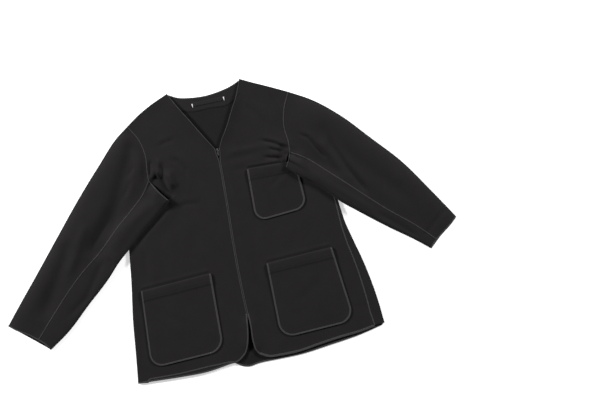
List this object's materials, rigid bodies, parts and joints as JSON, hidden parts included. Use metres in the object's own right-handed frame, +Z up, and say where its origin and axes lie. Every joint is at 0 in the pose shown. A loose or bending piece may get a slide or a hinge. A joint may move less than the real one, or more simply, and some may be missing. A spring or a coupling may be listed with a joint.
{
  "type": "jacket",
  "caption": "Short collarless zip jacket laid flat on its back, with a V neck, two-piece sleeves, patch pockets with turned tops and a zip with a hinged pull tab.",
  "frame": {"origin": "on the flat underside of the back panel, on the body's centre line and about midway between the armholes and the hem", "axes": "+X to the wearer's left, along the longest side across the sleeves; +Y from the hem to the neck; +Z up from the surface that it lies on, out of the front"},
  "size_m": [1.1741, 0.7233, 0.0143],
  "materials": {
    "cloth": "matt charcoal double jersey with a short nap",
    "facing": "matt, darker",
    "hanger_tape": "matt woven tape",
    "zip_tape": "matt woven tape",
    "zip_metal": "darkened, satin",
    "seam_thread": "matt thread, a little lighter than the cloth"
  },
  "bodies": {
    "garment": {"back": "cloth", "front_right": "cloth", "front_left": "cloth", "top_sleeve_right": "cloth", "under_sleeve_right": "cloth", "top_sleeve_left": "cloth", "under_sleeve_left": "cloth", "pocket_right": "cloth", "pocket_left": "cloth", "pocket_chest": "cloth", "neck_facing": "facing", "label_tape": "hanger_tape", "zip_tape_right": "zip_tape", "zip_tape_left": "zip_tape", "zip_slider": "zip_metal", "zip_box": "zip_metal"},
    "pull_tab": {"zip_pull": "zip_metal"}
  },
  "joints": [
    {"name": "pull_tab_hinge", "type": "hinge", "parent": "garment", "child": "pull_tab", "pos_m": [-0.0007, 0.2184, 0.0066], "axis": [-1, 0, 0], "range_deg": [0, 150]}
  ]
}
